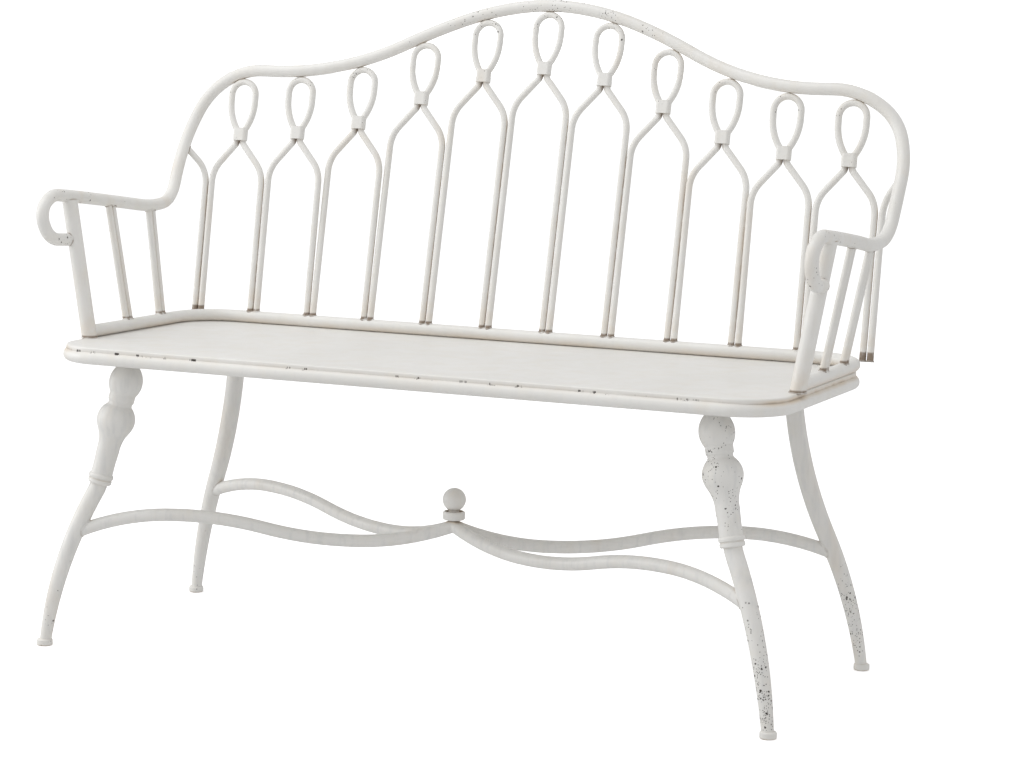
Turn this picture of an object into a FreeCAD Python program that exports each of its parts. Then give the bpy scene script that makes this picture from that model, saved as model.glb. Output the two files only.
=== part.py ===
import FreeCAD, Part
import math
import os

# Garden bench of painted steel tube with a sheet seat.
# Millimetres. +Z is up, +Y is the back of the bench and +X is the viewer's right when facing it.
# The origin is on the ground under the middle of the bench's overall box.

V = FreeCAD.Vector

SIZES = {
    # overall
    "overall_height": 970,
    # seat: sheet, the closed tube ring under it and the open rail on top of it
    "seat_width": 1125,
    "seat_front": -280.5,
    "seat_top": 450,
    "back_line": 161.5,
    "frame_tube": 19,
    "frame_corner": 72,
    "sheet": 1.5,
    "rim_depth": 7,
    "rim_reach": 3.5,
    "rim_round": 3,
    "bearer_width": 40,
    "bearer_thick": 5,
    "bearer_rise": 2,
    "stiffener_thick": 3,
    "stiffener_deep": 16,
    "stiffener_place": 190,
    # top rail, bent from one tube with the arms and their scrolls
    "rail_tube": 19,
    "arm_reach": 590.5,
    # back: hairpin loops of round rod
    "rod": 10,
    "loop_pitch": 100.75,
    "leg_gap": 11.4,
    "loop_half_width": 21.2,
    "loop_rise": 84,
    "side_bend": 77,
    "neck_spread": 5.3,
    "branch_drop": 59.6,
    "branch_angle": 41,
    "side_angle": 36,
    "shoulder_bend": 50,
    "neck_bend": 12,
    "collar_width": 22.5,
    "collar_depth": 14,
    "collar_tall": 20,
    "collar_round": 5,
    # arms
    "post": 23,
    "post_place": 553,
    "post_head": 588.5,
    "post_top": 655,
    "post_back": -165,
    "spindle_gap": 11,
    # front legs: a turned part on a curved tube
    "front_leg_x": 458.3,
    "front_leg_y": -216.3,
    "front_leg_turn": -27.2,
    "turning_tilt": 14.2,
    "ball_height": 395.6,
    "ball": 49.5,
    "ball_bulge": 34,
    "ball_top": 25,
    "tenon": 18,
    "tenon_tall": 9.8,
    "bead": 38.5,
    "groove": 35,
    "bulb": 56.5,
    "shaft_top": 33.6,
    "shaft_foot": 32,
    "shaft_long": 146,
    "collar_ring": 36.5,
    # back legs
    "back_leg_x": 461,
    "back_leg_y": 122,
    "back_leg_turn": 28.8,
    "leg_tube": 26,
    "leg_tip": 17,
    "foot": 23.5,
    "foot_tall": 10,
    "foot_round": 2.5,
    # stretchers and finial
    "stretcher": 19,
    "hub_y": -50,
    "hub_height": 198.2,
    "dip_start": 73,
    "dip_end": 216,
    "dip": 27,
    "hump_start": 344,
    "hump_end": 485,
    "hump": 3,
    "hub_cap": 33,
    "hub_cap_tall": 12.5,
    "hub_cap_recess": 3,
    "finial": 34.5,
    "finial_neck": 15,
    "stud": 8,
    "stud_long": 42,
    "stud_sunk": 14,
    # fasteners
    "bolt": 8,
    "bolt_head": 13,
    "bolt_head_tall": 5.5,
    "bolt_grip": 27,
    "front_bolt_out": -7,
    "back_bolt_out": -4,
}

SIDES = (("left", -1), ("right", 1))
LOOPS = 11

doc = FreeCAD.newDocument("garden_bench")
sheet = doc.addObject("Spreadsheet::Sheet", "sizes")
for row, (alias, number) in enumerate(SIZES.items(), start=1):
    sheet.set("A%d" % row, alias)
    sheet.set("B%d" % row, str(number))
    sheet.setAlias("B%d" % row, alias)
doc.recompute()

nodes = []


def size(alias):
    """A driving dimension, read from the sheet."""
    return float(sheet.get(alias))


def bind(thing, prop, formula):
    """Tie a property to the sheet; {name} in the formula stands for a cell."""
    thing.setExpression(prop, formula.format_map({k: "sizes." + k for k in SIZES}))


def node(thing, label):
    """Name a finished sub-part and keep it for writing."""
    thing.Label = label
    nodes.append(thing)
    return thing


def feature(name, shape):
    thing = doc.addObject("Part::Feature", name)
    thing.Shape = shape
    return thing


def cut(name, base, *tools):
    """Cope a piece to the pieces that it is welded to."""
    for tool in tools:
        trimmed = doc.addObject("Part::Cut", name)
        trimmed.Base = base
        trimmed.Tool = tool
        base = trimmed
    return base


def box(name, length, width, height, corner):
    thing = doc.addObject("Part::Box", name)
    bind(thing, "Length", length)
    bind(thing, "Width", width)
    bind(thing, "Height", height)
    thing.Placement.Base = corner
    return thing


def cylinder(name, diameter, height, base):
    thing = doc.addObject("Part::Cylinder", name)
    bind(thing, "Radius", "{%s} / 2" % diameter)
    bind(thing, "Height", height)
    thing.Placement.Base = base
    return thing


def fillet(name, base, radius, chosen):
    """Round the edges of a primitive that the test picks."""
    doc.recompute()
    thing = doc.addObject("Part::Fillet", name)
    thing.Base = base
    numbers = [i for i, edge in enumerate(base.Shape.Edges, start=1) if chosen(edge)]
    thing.Edges = [(i, size(radius), size(radius)) for i in numbers]
    return thing


def upright(edge):
    ends = [v.Point for v in edge.Vertexes]
    return len(ends) == 2 and abs(ends[0].x - ends[1].x) + abs(ends[0].y - ends[1].y) < 1e-6


# ---------------------------------------------------------------- bent tube

def bend(before, corner, after, reach):
    """The arc that rounds a corner, tangent to both runs at this reach from the corner."""
    back = (before - corner).normalize()
    ahead = (after - corner).normalize()
    middle = back + ahead
    middle.normalize()
    half_turn = (math.pi - back.getAngle(ahead)) / 2
    radius = reach / math.tan(half_turn)
    nearest = radius / math.cos(half_turn) - radius
    start = corner + back * reach
    end = corner + ahead * reach
    return start, end, Part.Arc(start, corner + middle * nearest, end).toShape()


def bent_path(points, radii=None, closed=False):
    """A wire of straight runs joined by tangent arcs, each as large as its runs allow
    or of the radius given for its corner."""
    count = len(points)
    corners = range(count) if closed else range(1, count - 1)
    runs = [(points[(i + 1) % count] - points[i]).Length for i in range(count)]
    edges = []
    place = None if closed else points[0]
    first = None
    for i in corners:
        before, corner, after = points[i - 1], points[i], points[(i + 1) % count]
        if radii:
            turn = math.pi - (before - corner).getAngle(after - corner)
            reach = radii[i - 1 if not closed else i] * math.tan(turn / 2)
        else:
            reach = min(runs[i - 1] * (1 if i == 1 else 0.5),
                        runs[i] * (1 if i == count - 2 else 0.5)) * 0.998
        start, end, arc = bend(before, corner, after, reach)
        if place is None:
            first = start
        elif (start - place).Length > 1e-4:
            edges.append(Part.LineSegment(place, start).toShape())
        edges.append(arc)
        place = end
    edges.append(Part.LineSegment(place, first if closed else points[-1]).toShape())
    return Part.Wire(edges)


def section(name, edge, at_end, diameter):
    """A circle bound to a diameter, standing square across one end of an edge."""
    where = edge.LastParameter if at_end else edge.FirstParameter
    circle = doc.addObject("Part::Circle", name + "_section")
    bind(circle, "Radius", "{%s} / 2" % diameter)
    turn = FreeCAD.Rotation(V(0, 0, 1), edge.tangentAt(where))
    circle.Placement = FreeCAD.Placement(edge.valueAt(where), turn)
    return circle


def tube(name, wire, diameter, tip=None):
    """Round bar swept along a wire; with a tip it tapers over the last bend."""
    path = feature(name + "_path", wire)
    edges = wire.OrderedEdges
    sections = [section(name, edges[0], False, diameter)]
    if tip:
        sections.append(section(name, edges[-3], True, diameter))
        sections.append(section(name, edges[-1], True, tip))
    sweep = doc.addObject("Part::Sweep", name)
    sweep.Sections = sections
    sweep.Spine = (path, ["Edge%d" % (i + 1) for i in range(len(edges))])
    sweep.Solid = True
    return sweep


def strut(name, foot, head, diameter):
    """Straight round bar with level ends."""
    circle = doc.addObject("Part::Circle", name + "_section")
    bind(circle, "Radius", "{%s} / 2" % diameter)
    circle.Placement.Base = foot
    bar = doc.addObject("Part::Extrusion", name)
    bar.Base = circle
    bar.DirMode = "Custom"
    bar.Dir = head - foot
    bar.LengthFwd = (head - foot).Length
    bar.Solid = True
    return bar


def turning(name, outline):
    """Solid of revolution about Z from a closed outline of (radius, height) points.
    A point with a third number ends an arc of that radius, bulging outward when positive."""
    points = [V(p[0], 0, p[1]) for p in outline]
    edges = []
    for i, spec in enumerate(outline):
        start, end = points[i - 1], points[i]
        if len(spec) == 3:
            chord = end - start
            radius = abs(spec[2])
            sag = radius - math.sqrt(radius ** 2 - (chord.Length / 2) ** 2)
            outward = V(chord.z, 0, -chord.x).normalize() * math.copysign(sag, spec[2])
            edges.append(Part.Arc(start, start + chord / 2 + outward, end).toShape())
        elif (end - start).Length > 1e-6:
            edges.append(Part.LineSegment(start, end).toShape())
    profile = feature(name + "_outline", Part.Face(Part.Wire(edges)))
    solid = doc.addObject("Part::Revolution", name)
    solid.Source = profile
    solid.Axis = V(0, 0, 1)
    solid.Angle = 360
    solid.Solid = True
    return solid


# ---------------------------------------------------------------- seat

seat_top = size("seat_top")
frame_half = (size("seat_width") - size("frame_tube")) / 2
frame_front = size("seat_front") + size("frame_tube") / 2
span = "{back_line} - {seat_front} - {frame_tube} / 2"    # between the ring's front and back
back_line = size("back_line")
frame_z = seat_top - size("rim_depth") + 1 - size("frame_tube") / 2
rail_z = seat_top + size("frame_tube") / 2
rail_top = seat_top + size("frame_tube")
bearer_top = frame_z - size("frame_tube") / 2 + size("bearer_rise") + size("bearer_thick")


def seat_frame():
    corners = [V(-frame_half, back_line, frame_z), V(-frame_half, frame_front, frame_z),
               V(frame_half, frame_front, frame_z), V(frame_half, back_line, frame_z)]
    ring = bent_path(corners, [size("frame_corner")] * 4, closed=True)
    return node(tube("frame", ring, "frame_tube"), "seat_frame")


def seat_panel(ring):
    reach = size("rim_reach")
    corner = V(-frame_half - reach, frame_front - reach, seat_top - size("rim_depth"))
    plan = ("{seat_width} - {frame_tube} + 2 * {rim_reach}", span + " + 2 * {rim_reach}")
    outer = box("panel_outer", *plan, "{rim_depth}", corner)
    outer = fillet("panel_corners", outer, "frame_corner", upright)
    outer = fillet("panel_rim", outer, "rim_round",
                   lambda e: min(v.Z for v in e.Vertexes) > seat_top - 1e-3)
    inside = ("{seat_width} - {frame_tube} + 2 * {rim_reach} - 2 * {sheet}",
              span + " + 2 * {rim_reach} - 2 * {sheet}")
    step = size("sheet")
    hollow = box("panel_hollow", *inside, "{rim_depth} - {sheet}", corner + V(step, step, 0))
    hollow = fillet("panel_hollow_corners", hollow, "frame_corner", upright)
    return node(cut("panel", outer, hollow, ring), "seat_panel")


def upper_rail(posts):
    front = size("post_back")
    corners = [V(-frame_half, front, rail_z), V(-frame_half, back_line, rail_z),
               V(frame_half, back_line, rail_z), V(frame_half, front, rail_z)]
    rail = tube("upper", bent_path(corners, [size("frame_corner")] * 2), "frame_tube")
    return node(cut("upper_coped", rail, *posts), "upper_rail")


def bearer(side, sign, ring, bolts):
    """Flat bar between the front and back of the ring, which a pair of legs hangs from."""
    middle = (size("front_leg_x") + size("back_leg_x")) / 2
    plate = box("bearer", "{bearer_width}", span, "{bearer_thick}",
                V(sign * middle - size("bearer_width") / 2, frame_front,
                  bearer_top - size("bearer_thick")))
    return node(cut("bearer_drilled", plate, ring, bolts), "leg_bearer_" + side)


def seat_stiffeners():
    bars = []
    gap = size("frame_tube") / 2
    for sign in (-1, 1):
        bars.append(box("stiffener", "{stiffener_thick}",
                        span + " - {frame_tube}", "{stiffener_deep}",
                        V(sign * size("stiffener_place") - size("stiffener_thick") / 2,
                          frame_front + gap,
                          seat_top - size("sheet") - size("stiffener_deep"))))
    both = doc.addObject("Part::Compound", "stiffeners")
    both.Links = bars
    return node(both, "seat_stiffeners")


# ---------------------------------------------------------------- top rail

def rail_points():
    """Corners of the bent tube from the middle of the crest to the end of the right scroll."""
    reach = size("arm_reach")
    crest = size("overall_height") - size("rail_tube") / 2
    above_bend = 3.6    # the crest's corner stands this far over the bend that rounds it
    return [
        V(0, 272.5, crest + above_bend), V(100, 271, 950), V(190, 262, 918), V(293, 243, 869),
        V(403, 220, 847), V(508, 219, 849), V(570, 218, 810),
        V(reach, 193, 752), V(reach, 158, 698), V(587, 131, 641),
        V(582, 64, 634), V(589, -33, 646),
        V(reach, -141, 658), V(590, -214, 665), V(588, -246, 640),
        V(587, -224, 599), V(585, size("post_back") - size("post") / 2 + 1.5, 596),
    ]


def rail_wire():
    right = rail_points()
    left = [V(-p.x, p.y, p.z) for p in reversed(right[1:])]
    return bent_path(left + right)


def rail_at(wire, x):
    """Centre of the rail above x, and its slope there."""
    crest = [p for p in wire.discretize(Distance=1.0) if p.z > 760]
    near = sorted(crest, key=lambda p: abs(p.x - x))[:2]
    a, b = sorted(near, key=lambda p: p.x)
    share = (x - a.x) / (b.x - a.x)
    return a + (b - a) * share, math.atan2(b.z - a.z, b.x - a.x)


# ---------------------------------------------------------------- back

def loop_frame(wire, x):
    """Where a loop stands: its lean from upright and the height of its top up the lean."""
    rail, slope = rail_at(wire, x)
    foot = V(x, back_line, rail_top)
    lean = math.atan2(rail.y - foot.y, rail.z - foot.z)
    radius = size("loop_half_width")
    touch = (radius + size("rod") / 2 + size("rail_tube") / 2) / math.cos(slope) - radius
    return foot, lean, (rail - foot).Length - touch


def in_plane(foot, lean, across, up):
    return foot + V(across, up * math.sin(lean), up * math.cos(lean))


def loop_corners(top):
    """Right half of a loop in its own plane: leg, shoulder, neck and the teardrop's side."""
    collar = top - size("loop_rise")
    neck = size("neck_spread")
    leg = (size("loop_pitch") - size("leg_gap")) / 2
    branch = math.tan(math.radians(size("branch_angle")))
    side = math.tan(math.radians(size("side_angle")))
    wide = size("loop_half_width")
    shoulder = collar - size("branch_drop")
    flare = collar + size("collar_tall") / 4
    return [
        (leg, -size("frame_tube") / 2, None),
        (leg, shoulder, size("shoulder_bend")),
        (neck, shoulder + (leg - neck) / branch, size("neck_bend")),
        (neck, flare, size("neck_bend") / 2),
        (wide, flare + (wide - neck) / side, size("side_bend")),
        (wide, top, wide),
    ]


def back_loop(number, wire, top_rail, lower_rail):
    x = (number - (LOOPS + 1) / 2) * size("loop_pitch")
    foot, lean, top = loop_frame(wire, x)
    half = loop_corners(top)
    whole = half + [(-a, u, r) for a, u, r in reversed(half)]
    points = [in_plane(foot, lean, a, u) for a, u, r in whole]
    radii = [r for a, u, r in whole[1:-1]]
    rod = tube("loop", bent_path(points, radii), "rod")
    loop = node(cut("loop_coped", rod, top_rail, lower_rail), "back_loop_%02d" % number)

    place = in_plane(foot, lean, 0, top - size("loop_rise"))
    band = box("collar", "{collar_width}", "{collar_depth}", "{collar_tall}", V(0, 0, 0))
    band = fillet("collar_rounded", band, "collar_round", upright)
    turn = FreeCAD.Rotation(V(1, 0, 0), -math.degrees(lean))
    middle = V(size("collar_width") / 2, size("collar_depth") / 2, size("collar_tall") / 2)
    band.Placement = FreeCAD.Placement(place - turn.multVec(middle), turn)
    node(cut("collar_bored", band, rod), "loop_collar_%02d" % number)
    return loop


def end_rod(side, sign, wire, top_rail, lower_rail):
    """Half a hairpin beside the outermost loop, bent outward to the rail."""
    x = (LOOPS - 1) / 2 * size("loop_pitch")
    foot, lean, top = loop_frame(wire, x)
    across = (size("loop_pitch") + size("leg_gap")) / 2
    shoulder = in_plane(foot, lean, across, top - size("loop_rise") - size("branch_drop"))
    points = [in_plane(foot, lean, across, -size("frame_tube") / 2), shoulder,
              V(size("arm_reach") - 2, 178, 724)]
    points = [V(sign * p.x, p.y, p.z) for p in points]
    rod = tube("end_rod", bent_path(points, [size("shoulder_bend")]), "rod")
    return node(cut("end_rod_coped", rod, top_rail, lower_rail), "end_rod_" + side)


# ---------------------------------------------------------------- arms

def arm_post(side, sign, top_rail):
    foot = V(sign * size("post_place"), size("post_back"), seat_top)
    head = V(sign * size("post_head"), size("post_back"), size("post_top"))
    post = strut("post", foot, head, "post")
    return node(cut("post_coped", post, top_rail), "arm_post_" + side)


def arm_spindles(side, sign, top_rail, lower_rail):
    """Two pairs of straight rods from the lower rail up to the arm."""
    for place, foot_y, top in (("front", -53, V(588, -52, 645)), ("rear", 44, V(583, 58, 635))):
        pair = doc.addObject("Part::Compound", "spindle_pair")
        rods = []
        for along in (-size("spindle_gap") / 2, size("spindle_gap") / 2):
            foot = V(sign * frame_half, foot_y + along, rail_z)
            head = V(sign * top.x, top.y + along, top.z)
            bar = strut("spindle", foot, head, "rod")
            rods.append(cut("spindle_coped", bar, top_rail, lower_rail))
        pair.Links = rods
        node(pair, "arm_spindles_%s_%s" % (place, side))


# ---------------------------------------------------------------- legs

# corners of each leg's tube down to its foot and the stretcher's end on it, as (out, height)
# in the leg's own plane, and the radii of the two bends
FRONT_CORNERS = (36.4, 252), (40.5, 238), (96.9, 134), (116.2, 8)
FRONT_BENDS = 60, 640
FRONT_JOINT = 69, 172
BACK_CORNERS = (-4.5, 430), (6, 305), (98, 108), (113.7, 8)
BACK_BENDS = 630, 690
BACK_JOINT = 64, 175


def leg_point(which, sign, out, height):
    """A point of a leg in its own upright plane, which turns outward from the bench's side."""
    turn = math.radians(size(which + "_leg_turn"))
    return V(sign * (size(which + "_leg_x") + out * math.cos(turn)),
             size(which + "_leg_y") + out * math.sin(turn), height)


def turned_part(side, sign, bearer_plate, bolts):
    """Ball, bead, bulb and shaft, measured down the axis from the middle of the ball."""
    ball, bead = size("ball") / 2, size("bead") / 2
    groove, bulb = size("groove") / 2, size("bulb") / 2
    top, foot = size("shaft_top") / 2, size("shaft_foot") / 2
    bulge, high = size("ball_bulge"), size("ball_top")
    crown = ball - bulge + math.sqrt(bulge ** 2 - high ** 2)
    seat = math.sqrt(bulge ** 2 - (bulge - ball + bead) ** 2)
    tenon = size("tenon") / 2
    low = -size("shaft_long")
    outline = [
        (0, low), (foot, low), (foot, -125), (top, -104), (top + 7.4, -73, -55),
        (bulb, -57, 34), (groove + 0.7, -36, 30), (groove, -34), (groove, -31.5),
        (bead - 0.8, -30), (bead, -27, 4), (bead, -18), (bead, -seat),
        (crown, high, bulge), (tenon, high), (tenon, high + size("tenon_tall")),
        (0, high + size("tenon_tall")),
    ]
    solid = turning("turned", outline)
    solid.Placement = leg_axis(sign)
    return node(cut("turned_trimmed", solid, bearer_plate, bolts), "turned_leg_" + side)


def leg_axis(sign):
    """Placement that puts the ball's middle at the origin and the leg's axis down -Z."""
    tilt = math.radians(size("turning_tilt"))
    centre = leg_point("front", sign, 0, size("ball_height"))
    up = centre - leg_point("front", sign, math.tan(tilt) * 100, size("ball_height") - 100)
    return FreeCAD.Placement(centre, FreeCAD.Rotation(V(0, 0, 1), up))


def leg_collar(side, sign):
    """Ring with one groove round it, between the turned part and the tube."""
    ring, joint = size("collar_ring") / 2, size("shaft_foot") / 2
    low = -size("shaft_long")
    outline = [
        (0, low - 9.5), (ring - 2.2, low - 9.5), (ring - 0.8, low - 7.8), (ring - 0.8, low - 3.5),
        (ring - 2, low - 2.8), (ring - 2, low - 1.6), (ring - 0.4, low - 1), (ring, low + 0.5, 2),
        (ring - 0.8, low + 4.5, 4), (joint, low + 5.5), (joint, low), (0, low),
    ]
    solid = turning("ring", outline)
    solid.Placement = leg_axis(sign)
    return node(solid, "leg_collar_" + side)


def leg_tube(which, side, sign, corners, radii, *tools):
    points = [leg_point(which, sign, out, height) for out, height in corners]
    bar = tube(which + "_tube", bent_path(points, radii), "leg_tube", "leg_tip")
    foot_place = leg_point(which, sign, corners[-1][0] + 1, 0)
    pad = cylinder("pad", "foot", "{foot_tall}", foot_place)
    pad = fillet("pad_rounded", pad, "foot_round", lambda e: len(e.Vertexes) == 1)
    node(pad, "foot_%s_%s" % (which, side))
    return node(cut(which + "_trimmed", bar, pad, *tools), "%s_leg_%s" % (which, side))


def stretcher(which, side, sign, leg, joint, cap, stud):
    """One arm of the cross: up from the leg over a hump, through a dip and up to the hub."""
    out, height = joint
    hub = V(0, size("hub_y"), 0)
    end = leg_point(which, sign, out, 0)
    along = (end - hub).normalize()
    length = (end - hub).Length
    rise = size("hub_height")
    dip, hump = rise - size("dip"), rise + size("hump")
    profile = [(0, rise), (size("dip_start"), dip), (size("dip_end"), dip),
               (size("hump_start"), hump), (size("hump_end"), hump), (length, height)]
    bar = tube("stretcher", bent_path([hub + along * s + V(0, 0, z) for s, z in profile]), "stretcher")
    ahead = 1 if which == "back" else -1
    quarter = box("quarter", "{seat_width} / 2", "{seat_width} / 4", "{hub_height}",
                  V(min(0, sign * size("seat_width") / 2),
                    hub.y + min(0, ahead * size("seat_width") / 4), rise / 2))
    kept = doc.addObject("Part::Common", "stretcher_mitred")
    kept.Base, kept.Tool = bar, quarter
    return node(cut("stretcher_coped", kept, leg, cap, stud), "stretcher_%s_%s" % (which, side))


def hub_parts():
    """Cap, ball and threaded stud in the middle of the cross."""
    centre = V(0, size("hub_y"), 0)
    cap_base = size("hub_height") + size("stretcher") / 2
    cap_top = cap_base + size("hub_cap_tall")
    ball_base = cap_top - size("hub_cap_recess")
    stud = cylinder("stud", "stud", "{stud_long}", centre + V(0, 0, cap_base - size("stud_sunk")))
    cap = cylinder("cap", "hub_cap", "{hub_cap_tall}", centre + V(0, 0, cap_base))
    cap = fillet("cap_rounded", cap, "foot_round", lambda e: len(e.Vertexes) == 1)
    recess = cylinder("recess", "finial", "{hub_cap_tall}", centre + V(0, 0, ball_base))
    bind(recess, "Radius", "{hub_cap} / 2 - {hub_cap_recess}")
    cap = node(cut("cap_bored", cap, recess, stud), "hub_cap")
    ball = doc.addObject("Part::Sphere", "ball")
    bind(ball, "Radius", "{finial} / 2")
    ball.Placement.Base = centre + V(0, 0, cap_top + size("finial") / 2)
    neck = cylinder("neck", "finial_neck", "{hub_cap_recess} + {finial} / 8",
                    centre + V(0, 0, ball_base))
    whole = doc.addObject("Part::Fuse", "ball_and_neck")
    whole.Base, whole.Tool = ball, neck
    node(cut("ball_tapped", whole, stud), "finial_ball")
    return cap, node(stud, "finial_stud")


def leg_bolts():
    """Four bolts down through the bearers into the tops of the legs."""
    bolts = []
    for which in ("front", "back"):
        for side, sign in SIDES:
            place = leg_point(which, sign, size(which + "_bolt_out"), bearer_top)
            shank = cylinder("shank", "bolt", "{bolt_grip}", place - V(0, 0, size("bolt_grip")))
            head = cylinder("head", "bolt_head", "{bolt_head_tall}", place)
            bolt = doc.addObject("Part::Fuse", "leg_bolt")
            bolt.Base, bolt.Tool = head, shank
            bolts.append(bolt)
    four = doc.addObject("Part::Compound", "bolts")
    four.Links = bolts
    return node(four, "leg_bolts")


# ---------------------------------------------------------------- assembly

def build():
    ring = seat_frame()
    seat_panel(ring)
    path = rail_wire()
    top_rail = node(tube("top", path, "rail_tube"), "top_rail")
    posts = [arm_post(side, sign, top_rail) for side, sign in SIDES]
    lower_rail = upper_rail(posts)
    for side, sign in SIDES:
        arm_spindles(side, sign, top_rail, lower_rail)
        end_rod(side, sign, path, top_rail, lower_rail)
    for number in range(1, LOOPS + 1):
        back_loop(number, path, top_rail, lower_rail)

    seat_stiffeners()
    bolts = leg_bolts()
    cap, stud = hub_parts()
    for side, sign in SIDES:
        plate = bearer(side, sign, ring, bolts)
        turned_part(side, sign, plate, bolts)
        collar = leg_collar(side, sign)
        front = leg_tube("front", side, sign, FRONT_CORNERS, FRONT_BENDS, collar)
        back = leg_tube("back", side, sign, BACK_CORNERS, BACK_BENDS, plate, bolts)
        stretcher("front", side, sign, front, FRONT_JOINT, cap, stud)
        stretcher("back", side, sign, back, BACK_JOINT, cap, stud)


build()
doc.recompute()
for thing in doc.Objects:
    if "Invalid" in thing.State or "Error" in thing.State:
        raise RuntimeError("%s failed: %s" % (thing.Name, thing.State))
os.makedirs("parts", exist_ok=True)
for thing in nodes:
    if thing.Shape.isNull() or not thing.Shape.isValid():
        raise RuntimeError("%s has no valid shape" % thing.Label)
    thing.Shape.exportStep(os.path.join("parts", thing.Label + ".step"))
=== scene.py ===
"""Garden bench of painted steel tube: its rubbed paint, its welds and the stage it stands on."""

import math
import random

import bmesh
import bpy
from mathutils import Matrix, Vector


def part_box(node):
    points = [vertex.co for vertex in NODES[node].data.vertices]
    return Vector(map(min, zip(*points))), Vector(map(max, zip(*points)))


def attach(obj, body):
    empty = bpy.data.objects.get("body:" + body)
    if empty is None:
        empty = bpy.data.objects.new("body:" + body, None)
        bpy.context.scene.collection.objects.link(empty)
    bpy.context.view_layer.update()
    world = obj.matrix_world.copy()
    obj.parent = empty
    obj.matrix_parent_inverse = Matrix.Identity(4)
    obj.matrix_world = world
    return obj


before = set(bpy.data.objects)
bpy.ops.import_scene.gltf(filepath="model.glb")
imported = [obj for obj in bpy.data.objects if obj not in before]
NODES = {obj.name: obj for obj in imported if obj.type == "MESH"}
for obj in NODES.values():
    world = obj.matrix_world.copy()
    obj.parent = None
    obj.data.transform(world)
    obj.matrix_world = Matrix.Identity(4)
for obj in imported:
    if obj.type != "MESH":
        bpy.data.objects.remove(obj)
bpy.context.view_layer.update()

bl_info = {
    "name": "Garden Bench",
    "version": (1, 0, 0),
    "blender": (4, 5, 0),
    "location": "View3D > Sidebar > Bench",
    "description": "Paints a garden bench, welds its joints and lights it",
    "category": "Object",
}

BODY = "root"
SEAM_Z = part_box("seat_frame")[1].z          # where the rim of the sheet meets the ring
SEAT_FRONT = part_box("seat_frame")[0].y
SEAT_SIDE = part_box("seat_frame")[1].x
RAIL_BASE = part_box("upper_rail")[0].z
RAIL_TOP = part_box("upper_rail")[1].z
RAIL_SHADED_UNDERSIDE = RAIL_BASE + 0.007              # painted shade: below this height the rail's underside is tinted tan
JOINT_REACH = 0.0125                        # how far the wash spreads round a loop's collar
SPECK = dict(size=0.0008, spacing=0.0021)   # small lost spots of paint
FLAKE = dict(size=0.0017, spacing=0.0048)   # larger ones
WORN_FOOT = (0.19, 0.06)                    # a leg's wear begins and is full at these heights
COPED_ANGLE = math.radians(38)              # an edge sharper than this was cut to fit
FLOOR_HALF = 45.0
DOME_RADIUS = 50.0
DOME_GLOW = 1.2
KEY_PLACE, KEY_AIM, KEY_WIDE = (-1.6, -1.2, 4.2), (0.0, 0.0, 0.4), 3.0
SIDE_PLACE, SIDE_AIM, SIDE_WIDE = (-4.2, -1.6, 1.4), (0.0, 0.0, 0.5), 2.2
ROD_WELDED = [name for name in sorted(NODES) if name.startswith(("back_loop", "end_rod"))]
ARM_WELDED = [name for name in sorted(NODES) if name.startswith(("arm_post", "arm_spindle"))]
LEG_WELDED = [name for name in sorted(NODES) if name.startswith("stretcher")]


# ---------------------------------------------------------------- shader maths

class Value:
    """A shader socket. Arithmetic on it adds Math nodes."""

    def __init__(self, paint, socket):
        self.paint, self.socket = paint, socket

    def math(self, operation, *values):
        return self.paint.node("ShaderNodeMath", {"operation": operation},
                               dict(enumerate(values)))

    def __add__(self, other):
        return self.math("ADD", self, other)

    __radd__ = __add__

    def __sub__(self, other):
        return self.math("SUBTRACT", self, other)

    def __rsub__(self, other):
        return self.math("SUBTRACT", other, self)

    def __mul__(self, other):
        return self.math("MULTIPLY", self, other)

    __rmul__ = __mul__

    def __abs__(self):
        return self.math("ABSOLUTE", self)

    def larger(self, other):
        return self.math("MAXIMUM", self, other)

    def ramp(self, low, high):
        """0 at low to 1 at high, smoothly; low may be above high."""
        return self.paint.node("ShaderNodeMapRange", {"interpolation_type": "SMOOTHSTEP"},
                               {"Value": self, "From Min": low, "From Max": high})


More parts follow.
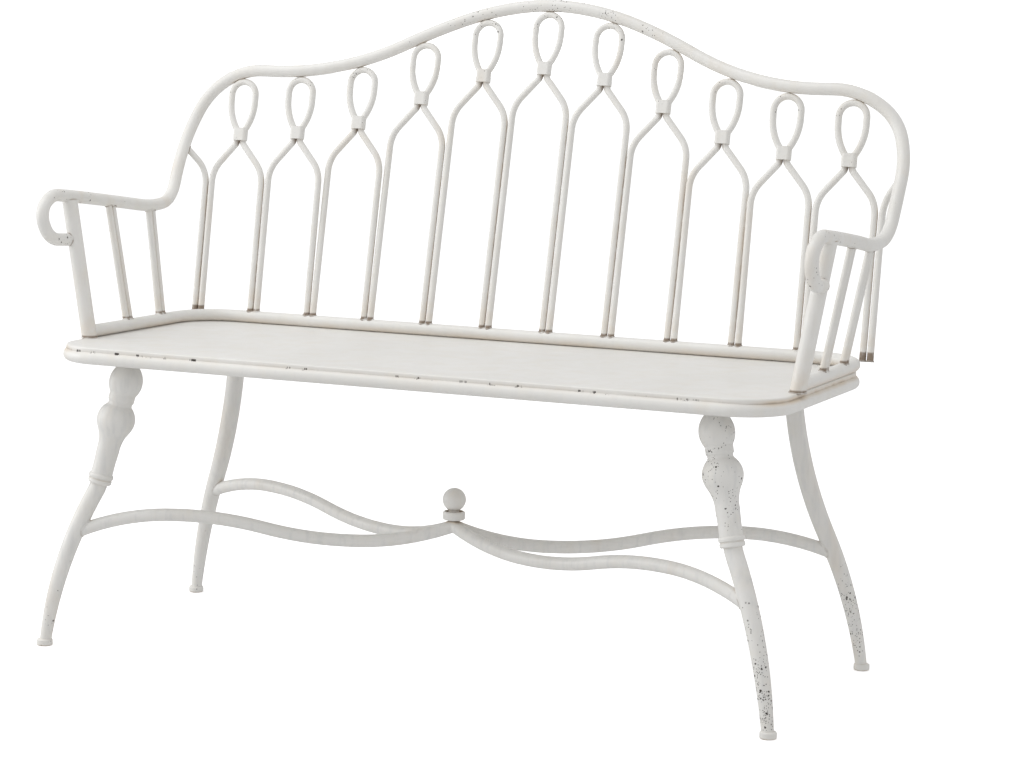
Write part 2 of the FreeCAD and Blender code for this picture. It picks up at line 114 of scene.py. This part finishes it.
class Paint:
    """A new material, and the one method that adds its nodes."""

    def __init__(self, name):
        self.material = bpy.data.materials.new(name)
        self.material.use_nodes = True
        self.tree = self.material.node_tree
        self.tree.nodes.clear()
        self.place = self.node("ShaderNodeTexCoord", out="Object")

    def node(self, kind, settings=None, sockets=None, out=0):
        made = self.tree.nodes.new(kind)
        for name, setting in (settings or {}).items():
            setattr(made, name, setting)
        for name, value in (sockets or {}).items():
            if isinstance(value, Value):
                self.tree.links.new(value.socket, made.inputs[name])
            else:
                made.inputs[name].default_value = value
        return Value(self, made.outputs[out]) if len(made.outputs) else made

    def noise(self, scale, detail=2.0, where=None, roughness=0.5):
        return self.node("ShaderNodeTexNoise", sockets={
            "Vector": where or self.place, "Scale": scale, "Detail": detail,
            "Roughness": roughness})

    def axis(self, letter, where=None):
        return self.node("ShaderNodeSeparateXYZ", sockets={0: where or self.place}, out=letter)

    def vector(self, operation, *values):
        return self.node("ShaderNodeVectorMath", {"operation": operation},
                         dict(enumerate(values)))

    def mix(self, share, under, over):
        """Two colours, shared by a value."""
        return self.node("ShaderNodeMix", {"data_type": "RGBA"},
                         {0: share, 6: under, 7: over}, out=2)

    def near(self, centre, radius):
        """1 at a point, falling to 0 at this distance from it."""
        away = self.node("ShaderNodeVectorMath", {"operation": "DISTANCE"},
                         {0: self.place, 1: centre}, out="Value")
        return away.ramp(radius, radius * 0.3)

    def painted_corner_shade(self, distance):
        """1 where the surface is shut in by a neighbour, 0 in the open: the ambient occlusion from
        which shade is painted into the corners.
        """
        light = self.node("ShaderNodeAmbientOcclusion", {"samples": 6},
                          {"Distance": distance}, out="AO")
        return 1.0 - light

    def finish(self, colour, roughness, height=None, metallic=0.0, grain=0.0004):
        sockets = {"Base Color": colour, "Roughness": roughness, "Metallic": metallic}
        if height:
            sockets["Normal"] = self.node("ShaderNodeBump", None, {
                "Strength": 0.6, "Distance": grain, "Height": height})
        shader = self.node("ShaderNodeBsdfPrincipled", None, sockets)
        self.node("ShaderNodeOutputMaterial", None, {"Surface": shader})
        return self.material


def flakes(paint, wear, size, spacing):
    """Ragged flakes of one size where a random draw falls under the wear."""
    wobble = paint.node("ShaderNodeTexNoise", sockets={
        "Vector": paint.place, "Scale": 0.9 / size, "Detail": 3.0}, out="Color")
    shifted = paint.vector("MULTIPLY_ADD", wobble, (size * 1.6,) * 3, paint.place)
    cells = {"Vector": shifted, "Scale": 1.0 / spacing}
    away = paint.node("ShaderNodeTexVoronoi", sockets=cells)
    draw = paint.axis("X", paint.node("ShaderNodeTexVoronoi", sockets=cells, out="Color"))
    reach = size / spacing
    return (wear - draw).ramp(0.0, 0.03) * away.ramp(reach, reach * 0.75)


def chips(paint, wear):
    """Lost paint: small specks in clumps, and a few larger flakes."""
    clump = paint.noise(30.0, 3.0).ramp(0.44, 0.62)
    share = wear * (0.15 + 1.1 * clump)
    return flakes(paint, share, **SPECK).larger(flakes(paint, share * 0.6, **FLAKE))


def seat_edge(paint, look, height, colour, lost):
    """The line where the sheet's rim meets the ring: tan at the sides, chipped in front."""
    flat = paint.vector("MULTIPLY", paint.place, (1.0, 1.0, 0.0))
    away = abs(height - SEAM_Z)
    front = paint.axis("Y").ramp(SEAT_FRONT + 0.02, SEAT_FRONT + 0.01)
    side = abs(paint.axis("X")).ramp(SEAT_SIDE - 0.05, SEAT_SIDE - 0.01)
    thick = paint.noise(14.0, 3.0, where=flat).ramp(0.3, 0.6)
    tan = away.ramp(0.0065, 0.0008) * (0.15 + 0.75 * side) * (0.45 + 0.55 * thick)
    colour = paint.mix(tan, colour, look.tan)
    dark = away.ramp(0.0014, 0.0004) * (0.12 + 0.35 * side) * thick
    colour = paint.mix(dark, colour, look.wash)
    along = paint.noise(75.0, 4.0, where=flat, roughness=0.7)
    patch = paint.noise(8.0, 2.0, where=flat)
    line = away.ramp(0.0023, 0.0008)
    chipped = along.ramp(0.575, 0.60) * patch.ramp(0.46, 0.54) * line * front
    return colour, lost.larger(chipped)


def cream_paint(look, name, wear=0.004, rubbed=1.0, low_wear=0.0, worn=(), edge=False,
                brushed=False, weld=0.0, foot=None, shaded_underside=None, strokes=0.15, joints=()):
    """Off-white paint, brown in its corners from the wash together with painted shade where a
    neighbour shuts the surface in, and with small flakes lost from it.
    foot is a height just above which the wash is dark, belly one below which the rail's underside
    is painted with tan shade, and joints are points that the wash has gathered round."""
    paint = Paint(name)
    height = paint.axis("Z")

    cloud = paint.noise(4.5, 3.0)
    mottle = paint.noise(34.0, 4.0, roughness=0.6)
    colour = paint.mix(cloud.ramp(0.3, 0.7), look.paint, look.shade)
    colour = paint.mix(mottle.ramp(0.42, 0.75) * 0.45, colour, look.warm)
    stroke = paint.noise(120.0, 3.0, where=paint.vector("MULTIPLY", paint.place, (1.0, 1.0, 0.15)))
    colour = paint.mix(stroke.ramp(0.46, 0.72) * strokes, colour, look.grey)

    # Painted shade: ambient occlusion turns the paint tan, then deep brown, where a neighbour shuts
    # it in, on top of the brown wash; rubbed scales it and the streaks below.
    corner = paint.painted_corner_shade(look.corner_reach)
    smear = paint.noise(70.0, 3.0)
    thin = corner.ramp(0.30, 0.75) * (0.3 + 0.7 * smear.ramp(0.35, 0.6)) * rubbed
    deep = corner.ramp(0.62, 0.95) * (0.4 + 0.6 * smear.ramp(0.3, 0.55)) * rubbed
    if weld:
        deep = deep.larger(smear.ramp(0.38, 0.56) * weld)
    if foot is not None:
        deep = deep.larger(height.ramp(foot + 0.0052, foot + 0.0022)
                           * (0.5 + 0.5 * smear.ramp(0.3, 0.5)))
        thin = thin.larger(height.ramp(foot + 0.06, foot) * 0.45 * smear.ramp(0.25, 0.6))
    for centre in joints:
        deep = deep.larger(paint.near(centre, JOINT_REACH) * 0.85)
    # Painted shade: tan laid along the upper rail's underside, below the given height.
    if shaded_underside is not None:
        thin = thin.larger(height.ramp(shaded_underside + 0.006, shaded_underside - 0.006)
                           * (0.3 + 0.4 * paint.noise(7.0, 3.0).ramp(0.35, 0.65)))
    streak = paint.noise(26.0, 3.0, where=paint.vector("MULTIPLY", paint.place, (1.0, 1.0, 0.22)))
    thin = thin.larger(streak.ramp(0.54, 0.74) * 0.30 * rubbed)
    # The tan and the brown carry the painted corner shade as well as the wash, its streaks, the
    # welds and the joints.
    colour = paint.mix(thin * 0.8, colour, look.tan)
    colour = paint.mix(deep * look.wash_strength, colour, look.wash)

    shared = paint.noise(3.0, 1.0).ramp(0.2, 0.8) * wear
    if low_wear:
        shared = height.ramp(*WORN_FOOT) * low_wear + shared
    for centre, radius, strength in worn:
        shared = paint.near(centre, radius) * strength + shared
    lost = chips(paint, shared)
    if edge:
        colour, lost = seat_edge(paint, look, height, colour, lost)
    colour = paint.mix(lost, colour, look.bare)

    if brushed:
        hair = paint.noise(60.0, 4.0, where=paint.vector("MULTIPLY", paint.place, (0.12, 3.0, 1.0)))
        peel = hair * 0.7 + mottle * 0.5
    else:
        peel = paint.noise(260.0, 3.0) * 0.5 + mottle * 0.5
    rough = mottle.ramp(0.3, 0.7) * 0.12 + look.gloss + deep * 0.18 + lost * 0.25
    return paint.finish(colour, rough, peel - lost * 0.8)


def zinc_plate(name):
    """Dull plating, spangled, on the bolts and the stud."""
    paint = Paint(name)
    spangle = paint.node("ShaderNodeTexVoronoi", sockets={"Vector": paint.place, "Scale": 900.0})
    colour = paint.mix(spangle.ramp(0.0, 1.0), (0.52, 0.53, 0.54, 1.0), (0.66, 0.66, 0.65, 1.0))
    return paint.finish(colour, paint.noise(300.0).ramp(0.2, 0.8) * 0.2 + 0.3,
                        spangle, metallic=1.0, grain=0.0001)


# ---------------------------------------------------------------- welds

def seams(node):
    """The closed edges where a node was coped to its neighbours, as rings of points."""
    shell = bmesh.new()
    shell.from_mesh(NODES[node].data)
    bmesh.ops.remove_doubles(shell, verts=shell.verts, dist=1e-5)
    edges = {e for e in shell.edges
             if len(e.link_faces) == 2 and e.calc_face_angle(0.0) > COPED_ANGLE}
    rings = []
    while edges:
        edge = edges.pop()
        start, here = edge.verts
        ring = [start.co.copy(), here.co.copy()]
        while here is not start:
            step = next((e for e in here.link_edges if e in edges), None)
            if step is None:
                break
            edges.discard(step)
            here = step.other_vert(here)
            ring.append(here.co.copy())
        if here is start:
            rings.append(ring[:-1])
    shell.free()
    return rings


def even_ring(points, spacing):
    """The same ring with its points this far apart."""
    closed = points + points[:1]
    lengths = [(b - a).length for a, b in zip(closed, closed[1:])]
    count = max(8, round(sum(lengths) / spacing))
    wanted = [sum(lengths) * i / count for i in range(count)]
    even, gone, i = [], 0.0, 0
    for mark in wanted:
        while gone + lengths[i] < mark:
            gone += lengths[i]
            i += 1
        share = (mark - gone) / max(lengths[i], 1e-9)
        even.append(closed[i].lerp(closed[i + 1], share))
    return even


def beads(name, nodes, radius, draws, shortest=0.012):
    """Rippled beads of weld along every sharp closed edge of these nodes, as one piece."""
    line = bpy.data.curves.new(name, "CURVE")
    line.dimensions = "3D"
    line.bevel_depth = radius
    line.bevel_resolution = 3
    for node in nodes:
        for ring in seams(node):
            around = sum((b - a).length for a, b in zip(ring, ring[1:] + ring[:1]))
            if around < shortest:
                continue
            even = even_ring(ring, radius * 0.9)
            spline = line.splines.new("POLY")
            spline.points.add(len(even) - 1)
            for point, place in zip(spline.points, even):
                point.co = (*place, 1.0)
                point.radius = draws.uniform(0.72, 1.12)
            spline.use_cyclic_u = True
    drawn = bpy.data.objects.new(name, line)
    bpy.context.scene.collection.objects.link(drawn)
    mesh = bpy.data.meshes.new_from_object(drawn.evaluated_get(
        bpy.context.evaluated_depsgraph_get()))
    bpy.data.objects.remove(drawn)
    shell = bmesh.new()
    shell.from_mesh(mesh)
    bmesh.ops.remove_doubles(shell, verts=shell.verts, dist=1e-6)
    bmesh.ops.smooth_vert(shell, verts=shell.verts, factor=0.4,
                          use_axis_x=True, use_axis_y=True, use_axis_z=True)
    bmesh.ops.recalc_face_normals(shell, faces=shell.faces)
    for face in shell.faces:
        face.smooth = True
    shell.to_mesh(mesh)
    shell.free()
    piece = bpy.data.objects.new(name, mesh)
    bpy.context.scene.collection.objects.link(piece)
    return piece


def finish_piece(piece, material):
    piece.data.materials.clear()
    piece.data.materials.append(material)
    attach(piece, BODY)


# ---------------------------------------------------------------- stage

def staging(name, colour, glow, drop=0.0, round_about=False):
    """A large matt floor, or a dome round everything, that can add light of its own."""
    shell = bmesh.new()
    if round_about:
        bmesh.ops.create_icosphere(shell, subdivisions=4, radius=DOME_RADIUS)
        bmesh.ops.reverse_faces(shell, faces=shell.faces)
    else:
        bmesh.ops.create_grid(shell, x_segments=1, y_segments=1, size=FLOOR_HALF)
        bmesh.ops.translate(shell, verts=shell.verts, vec=(0.0, 0.0, -drop))
    mesh = bpy.data.meshes.new(name)
    shell.to_mesh(mesh)
    shell.free()
    surface = Paint(name + "_surface")
    light = surface.node("ShaderNodeEmission", None, {"Color": colour, "Strength": glow})
    matt = surface.node("ShaderNodeBsdfDiffuse", None, {"Color": colour})
    both = surface.node("ShaderNodeAddShader", None, {0: light, 1: matt})
    surface.node("ShaderNodeOutputMaterial", None, {"Surface": both})
    mesh.materials.append(surface.material)
    piece = bpy.data.objects.new(name, mesh)
    bpy.context.scene.collection.objects.link(piece)
    return piece


# ---------------------------------------------------------------- settings

class PaintSettings(bpy.types.PropertyGroup):
    """Colours and wear of the paint, and the shade painted into its corners."""

    paint: bpy.props.FloatVectorProperty(
        name="Paint", description="Off-white paint", subtype="COLOR", size=4,
        default=(0.80, 0.79, 0.765, 1.0), min=0.0, max=1.0)
    shade: bpy.props.FloatVectorProperty(
        name="Shade", description="The paint where it is thinner", subtype="COLOR", size=4,
        default=(0.76, 0.748, 0.72, 1.0), min=0.0, max=1.0)
    warm: bpy.props.FloatVectorProperty(
        name="Warm Tint", description="Yellowed patches of the paint", subtype="COLOR", size=4,
        default=(0.77, 0.74, 0.68, 1.0), min=0.0, max=1.0)
    # This brown also colours the painted shade in the corners.
    wash: bpy.props.FloatVectorProperty(
        name="Wash", description="Brown wash left in the corners", subtype="COLOR", size=4,
        default=(0.17, 0.11, 0.065, 1.0), min=0.0, max=1.0)
    # This tan also colours thinner painted shade, in the corners and under the upper rail.
    tan: bpy.props.FloatVectorProperty(
        name="Thin Wash", description="Brown wash rubbed thin", subtype="COLOR", size=4,
        default=(0.70, 0.59, 0.46, 1.0), min=0.0, max=1.0)
    grey: bpy.props.FloatVectorProperty(
        name="Grey", description="Greyer brush strokes in the paint", subtype="COLOR", size=4,
        default=(0.66, 0.66, 0.65, 1.0), min=0.0, max=1.0)
    bare: bpy.props.FloatVectorProperty(
        name="Bare Metal", description="Dark metal where paint is lost", subtype="COLOR", size=4,
        default=(0.035, 0.026, 0.02, 1.0), min=0.0, max=1.0)
    # This also sets how dark the painted corner shade is.
    wash_strength: bpy.props.FloatProperty(
        name="Wash Strength", description="How dark the corners are", default=0.85,
        min=0.0, max=1.0, subtype="FACTOR")
    # This is the reach of the ambient occlusion that paints shade into the corners.
    corner_reach: bpy.props.FloatProperty(
        name="Corner Reach", description="How far the wash spreads from a corner",
        default=0.009, min=0.001, max=0.05, unit="LENGTH")
    gloss: bpy.props.FloatProperty(
        name="Roughness", description="Roughness of the sound paint", default=0.36,
        min=0.0, max=1.0, subtype="FACTOR")


class WeldSettings(bpy.types.PropertyGroup):
    """Sizes of the weld beads."""

    rod_bead: bpy.props.FloatProperty(
        name="Rod Bead", description="Radius of the bead round a rod", default=0.0013,
        min=0.0005, max=0.004, unit="LENGTH")
    arm_bead: bpy.props.FloatProperty(
        name="Arm Bead", description="Radius of the bead round a post or spindle",
        default=0.0015, min=0.0005, max=0.004, unit="LENGTH")
    leg_bead: bpy.props.FloatProperty(
        name="Leg Bead", description="Radius of the bead round a stretcher", default=0.0015,
        min=0.0005, max=0.004, unit="LENGTH")


class StageSettings(bpy.types.PropertyGroup):
    """Floor, light and camera."""

    floor: bpy.props.FloatVectorProperty(
        name="Floor", description="Pale floor", subtype="COLOR", size=4,
        default=(0.95, 0.95, 0.95, 1.0), min=0.0, max=1.0)
    bounce: bpy.props.FloatVectorProperty(
        name="Bounce", description="Floor as the light bounces off it", subtype="COLOR", size=4,
        default=(0.88, 0.88, 0.88, 1.0), min=0.0, max=1.0)
    glow: bpy.props.FloatProperty(
        name="Floor Glow", description="Light that the pale floor adds of its own",
        default=0.50, min=0.0, max=2.0)
    lift: bpy.props.FloatProperty(
        name="Bounce Glow", description="Light that the floor throws up under the seat",
        default=0.09, min=0.0, max=2.0)
    sky: bpy.props.FloatProperty(
        name="Sky", description="Strength of the even light all round", default=0.70,
        min=0.0, max=5.0)
    key: bpy.props.FloatProperty(
        name="Key", description="Power of the large soft light overhead", default=62.0,
        min=0.0, max=2000.0, unit="POWER")
    side: bpy.props.FloatProperty(
        name="Side Light", description="Power of the soft light on the left", default=48.0,
        min=0.0, max=2000.0, unit="POWER")
    eye: bpy.props.FloatVectorProperty(
        name="Camera Place", description="Where the camera stands", subtype="XYZ", unit="LENGTH",
        size=3, default=(1.6278, -3.6556, 0.9220))
    yaw: bpy.props.FloatProperty(
        name="Camera Yaw", description="Turn of the view to the left", default=0.403709,
        subtype="ANGLE")
    pitch: bpy.props.FloatProperty(
        name="Camera Pitch", description="Downward tilt of the view", default=0.130673,
        subtype="ANGLE")
    roll: bpy.props.FloatProperty(
        name="Camera Roll", description="Roll of the view", default=0.024839, subtype="ANGLE")
    lens: bpy.props.FloatProperty(
        name="Lens", description="Focal length", default=96.12, min=10.0, max=300.0,
        unit="CAMERA")


# ---------------------------------------------------------------- operators

def settings():
    return bpy.context.scene.garden_bench_paint


class BENCH_OT_paint(bpy.types.Operator):
    """Paint every part of the bench"""

    bl_idname = "bench.paint"
    bl_label = "Paint the Bench"

    def execute(self, context):
        look = settings()
        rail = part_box("top_rail")[1]
        crest = Vector((0.0, rail.y, rail.z))
        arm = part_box("arm_post_right")[1]
        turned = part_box("turned_leg_right")
        middle = (turned[0] + turned[1]) / 2
        loops = [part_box(name) for name in NODES if name.startswith("back_loop")]
        collars = [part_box(name) for name in NODES if name.startswith("loop_collar")]
        crowns = [Vector(((low.x + high.x) / 2, high.y, high.z)) for low, high in loops]
        necks = [Vector(((low.x + high.x) / 2, (low.y + high.y) / 2, low.z))
                 for low, high in collars]
        makers = {
            # rubbed scales each part's painted corner shade and its wash streaks.
            "top_rail": dict(wear=0.02, worn=(
                (crest, 0.30, 0.14), (Vector((arm.x, arm.y, arm.z)), 0.16, 0.10),
                (Vector((-arm.x, arm.y, arm.z)), 0.16, 0.07))),
            "seat_frame": dict(wear=0.004, edge=True, rubbed=0.5),
            # the upper rail's underside gets painted tan shade
            "upper_rail": dict(wear=0.006, rubbed=0.04, shaded_underside=RAIL_SHADED_UNDERSIDE),
            "seat_panel": dict(wear=0.002, edge=True, brushed=True, rubbed=0.04),
            "turned_leg_right": dict(strokes=0.5, wear=0.03, worn=((middle, 0.11, 0.16),)),
            "turned_leg_left": dict(strokes=0.5, wear=0.012),
            "leg_collar": dict(wear=0.03),
            "front_leg_right": dict(strokes=0.5, wear=0.02, low_wear=0.6),
            "front_leg_left": dict(strokes=0.5, wear=0.01, low_wear=0.06),
            "back_leg_right": dict(strokes=0.5, wear=0.01, low_wear=0.26),
            "back_leg_left": dict(strokes=0.5, wear=0.01, low_wear=0.08),
            "foot_front": dict(wear=0.16),
            "foot_back": dict(wear=0.10),
            "stretcher": dict(strokes=0.5, wear=0.003),
            "back_loop": dict(wear=0.012, foot=RAIL_TOP, joints=necks,
                              worn=[(crown, 0.06, 0.14) for crown in crowns]),
            "end_rod": dict(wear=0.006, foot=RAIL_TOP),
            "loop_collar": dict(wear=0.10),
            "arm_post": dict(wear=0.008, foot=RAIL_BASE),
            "arm_spindle": dict(wear=0.008, foot=RAIL_TOP),
            "hub_cap": dict(wear=0.02),
            "finial_ball": dict(wear=0.004),
            "leg_bearer": dict(wear=0.01),
            "seat_stiffeners": dict(wear=0.01),
        }
        zinc = zinc_plate("zinc_plated_steel")
        made = {}
        for name, node in NODES.items():
            if name in ("leg_bolts", "finial_stud"):
                material = zinc
            else:
                kind = max((k for k in makers if name.startswith(k)), key=len)
                if kind not in made:
                    made[kind] = cream_paint(look, kind + "_paint", **makers[kind])
                material = made[kind]
            node.data.materials.clear()
            node.data.materials.append(material)
        return {"FINISHED"}


class BENCH_OT_rod_welds(bpy.types.Operator):
    """Weld the back's rods to the two rails"""

    bl_idname = "bench.rod_welds"
    bl_label = "Weld the Rods"

    def execute(self, context):
        bead = context.scene.garden_bench_welds.rod_bead
        piece = beads("rod_welds", ROD_WELDED, bead, random.Random(3))
        finish_piece(piece, cream_paint(settings(), "rod_weld_paint", wear=0.05, weld=0.8))
        return {"FINISHED"}


class BENCH_OT_arm_welds(bpy.types.Operator):
    """Weld the posts and spindles of the arms"""

    bl_idname = "bench.arm_welds"
    bl_label = "Weld the Arms"

    def execute(self, context):
        bead = context.scene.garden_bench_welds.arm_bead
        piece = beads("arm_welds", ARM_WELDED, bead, random.Random(5))
        finish_piece(piece, cream_paint(settings(), "arm_weld_paint", wear=0.05, weld=0.7))
        return {"FINISHED"}


class BENCH_OT_leg_welds(bpy.types.Operator):
    """Weld the stretchers to the legs and to each other"""

    bl_idname = "bench.leg_welds"
    bl_label = "Weld the Stretchers"

    def execute(self, context):
        bead = context.scene.garden_bench_welds.leg_bead
        piece = beads("stretcher_welds", LEG_WELDED, bead, random.Random(7))
        finish_piece(piece, cream_paint(settings(), "stretcher_weld_paint", wear=0.03, weld=0.35))
        return {"FINISHED"}


class BENCH_OT_stage(bpy.types.Operator):
    """Lay the floor, light the bench and set the camera"""

    bl_idname = "bench.stage"
    bl_label = "Set the Stage"

    def execute(self, context):
        scene = context.scene
        stage = scene.garden_bench_stage

        floor = staging("floor", stage.floor, stage.glow)
        floor.visible_diffuse = False
        floor.visible_glossy = False
        under = staging("under_floor", stage.bounce, stage.lift, drop=0.002)
        under.visible_camera = False
        backdrop = staging("backdrop", stage.floor, DOME_GLOW, round_about=True)
        for hidden in ("visible_diffuse", "visible_glossy", "visible_shadow",
                       "visible_transmission"):
            setattr(backdrop, hidden, False)

        world = bpy.data.worlds.new("even_light")
        world.use_nodes = True
        back = world.node_tree.nodes["Background"]
        back.inputs["Color"].default_value = (1.0, 1.0, 1.0, 1.0)
        back.inputs["Strength"].default_value = stage.sky
        scene.world = world

        for name, place, target, wide, power in (
                ("key_light", KEY_PLACE, KEY_AIM, KEY_WIDE, stage.key),
                ("side_light", SIDE_PLACE, SIDE_AIM, SIDE_WIDE, stage.side)):
            lamp = bpy.data.lights.new(name, "AREA")
            lamp.size = wide
            lamp.energy = power
            light = bpy.data.objects.new(name, lamp)
            light.location = place
            aim = Vector(target) - Vector(place)
            light.rotation_euler = aim.to_track_quat("-Z", "Y").to_euler()
            scene.collection.objects.link(light)

        ahead = Vector((-math.sin(stage.yaw) * math.cos(stage.pitch),
                        math.cos(stage.yaw) * math.cos(stage.pitch), -math.sin(stage.pitch)))
        level = Vector((math.cos(stage.yaw), math.sin(stage.yaw), 0.0))
        upright = level.cross(ahead)
        right = math.cos(stage.roll) * level + math.sin(stage.roll) * upright
        up = math.cos(stage.roll) * upright - math.sin(stage.roll) * level
        lens = bpy.data.cameras.new("camera")
        lens.lens = stage.lens
        lens.sensor_width = 36.0
        camera = bpy.data.objects.new("camera", lens)
        turn = Matrix((right, up, -ahead)).transposed().to_4x4()
        camera.matrix_world = Matrix.Translation(stage.eye) @ turn
        scene.collection.objects.link(camera)
        scene.camera = camera
        scene.view_settings.view_transform = "Standard"
        return {"FINISHED"}


class BENCH_PT_panel(bpy.types.Panel):
    """The bench's settings and steps"""

    bl_idname = "BENCH_PT_panel"
    bl_label = "Garden Bench"
    bl_space_type = "VIEW_3D"
    bl_region_type = "UI"
    bl_category = "Bench"

    def draw(self, context):
        scene = context.scene
        for group in (scene.garden_bench_paint, scene.garden_bench_welds,
                      scene.garden_bench_stage):
            box = self.layout.box()
            for name in group.__annotations__:
                box.prop(group, name)
        for operator in OPERATORS:
            self.layout.operator(operator.bl_idname)


OPERATORS = (BENCH_OT_paint, BENCH_OT_rod_welds, BENCH_OT_arm_welds, BENCH_OT_leg_welds,
             BENCH_OT_stage)
GROUPS = {"garden_bench_paint": PaintSettings, "garden_bench_welds": WeldSettings,
          "garden_bench_stage": StageSettings}


def register():
    for group in GROUPS.values():
        bpy.utils.register_class(group)
    for name, group in GROUPS.items():
        setattr(bpy.types.Scene, name, bpy.props.PointerProperty(type=group))
    for operator in OPERATORS:
        bpy.utils.register_class(operator)
    bpy.utils.register_class(BENCH_PT_panel)


def unregister():
    bpy.utils.unregister_class(BENCH_PT_panel)
    for operator in reversed(OPERATORS):
        bpy.utils.unregister_class(operator)
    for name in GROUPS:
        delattr(bpy.types.Scene, name)
    for group in reversed(GROUPS.values()):
        bpy.utils.unregister_class(group)


def main():
    register()
    bpy.ops.bench.paint()
    bpy.ops.bench.rod_welds()
    bpy.ops.bench.arm_welds()
    bpy.ops.bench.leg_welds()
    bpy.ops.bench.stage()


if __name__ == "__main__":
    main()
